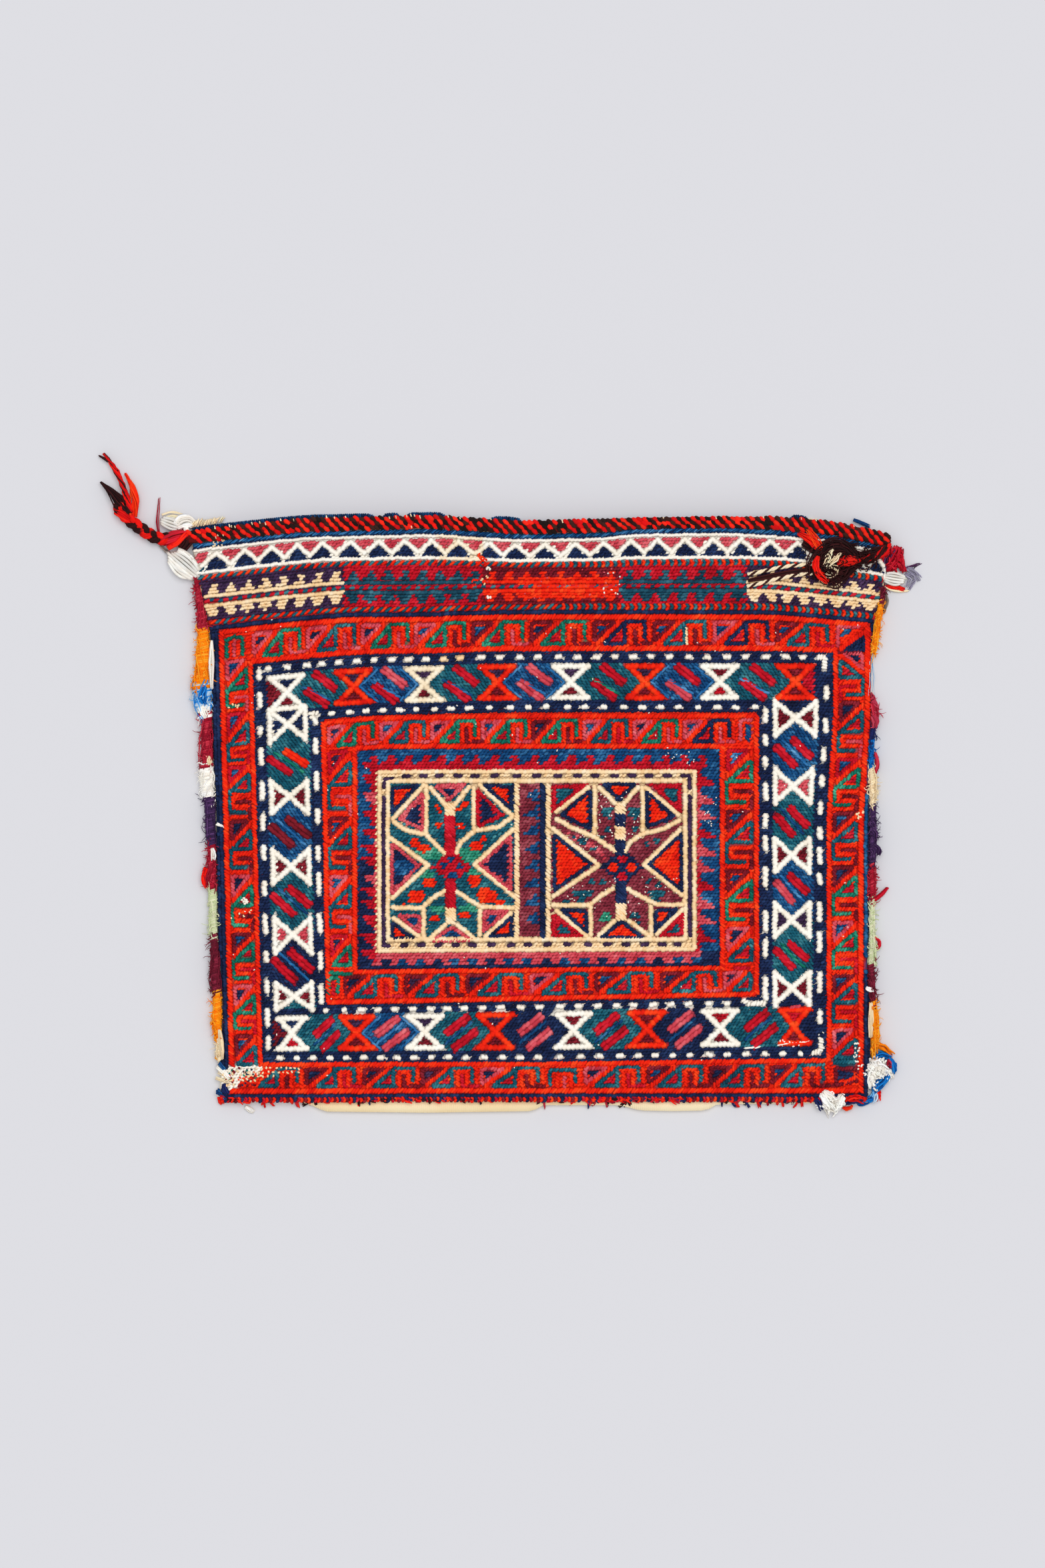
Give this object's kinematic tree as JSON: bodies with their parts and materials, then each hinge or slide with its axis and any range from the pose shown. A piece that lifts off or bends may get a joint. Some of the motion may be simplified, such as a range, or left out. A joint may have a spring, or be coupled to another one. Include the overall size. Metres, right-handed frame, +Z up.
{
  "type": "woven feed bag",
  "caption": "Flat-woven wool feed bag lying empty: patterned front, plain cotton back, overcast sides, wrapped mouth edge, short corner tie cords and lacings.",
  "frame": {"origin": "middle of the back cloth's underside, on the surface that the bag lies on", "axes": "+X across the bag to the right, +Y towards the mouth, +Z up out of the patterned front"},
  "size_m": [0.5016, 0.4, 0.0192],
  "materials": {
    "wool_weave": "matt wool weft wrapping in many colours",
    "cotton_cloth": "plain cream cotton cloth",
    "mouth_yarn": "red and black wool yarn, wrapped",
    "blue_yarn": "blue wool yarn, overcast",
    "left_binding_yarn": "wool yarn in changing colours, overcast",
    "right_binding_yarn": "wool yarn in changing colours, overcast",
    "braid_yarn": "red and dark brown wool braid",
    "white_cotton": "white cotton yarn",
    "dark_cord_yarn": "dark red and brown wool cord",
    "crimson_yarn": "crimson wool tuft",
    "blue_white_yarn": "white and blue wool tuft"
  },
  "bodies": {
    "root": {"front_panel": "wool_weave", "back_panel": "cotton_cloth", "left_mouth_corner_wrap": "mouth_yarn", "mouth_edge_wrap": "mouth_yarn", "right_mouth_corner_wrap": "mouth_yarn", "back_mouth_binding": "blue_yarn", "left_edge_binding": "left_binding_yarn", "right_edge_binding": "right_binding_yarn", "left_tie_cord": "braid_yarn", "left_tie_tassel": "braid_yarn", "left_corner_lacing_upper": "white_cotton", "left_corner_lacing_lower": "white_cotton", "right_tie_cord": "dark_cord_yarn", "right_tie_knot": "dark_cord_yarn", "right_tie_tail": "dark_cord_yarn", "right_corner_tuft": "crimson_yarn", "right_corner_lacing": "white_cotton", "foot_corner_tuft": "blue_white_yarn", "foot_white_tuft": "white_cotton"}
  },
  "joints": []
}
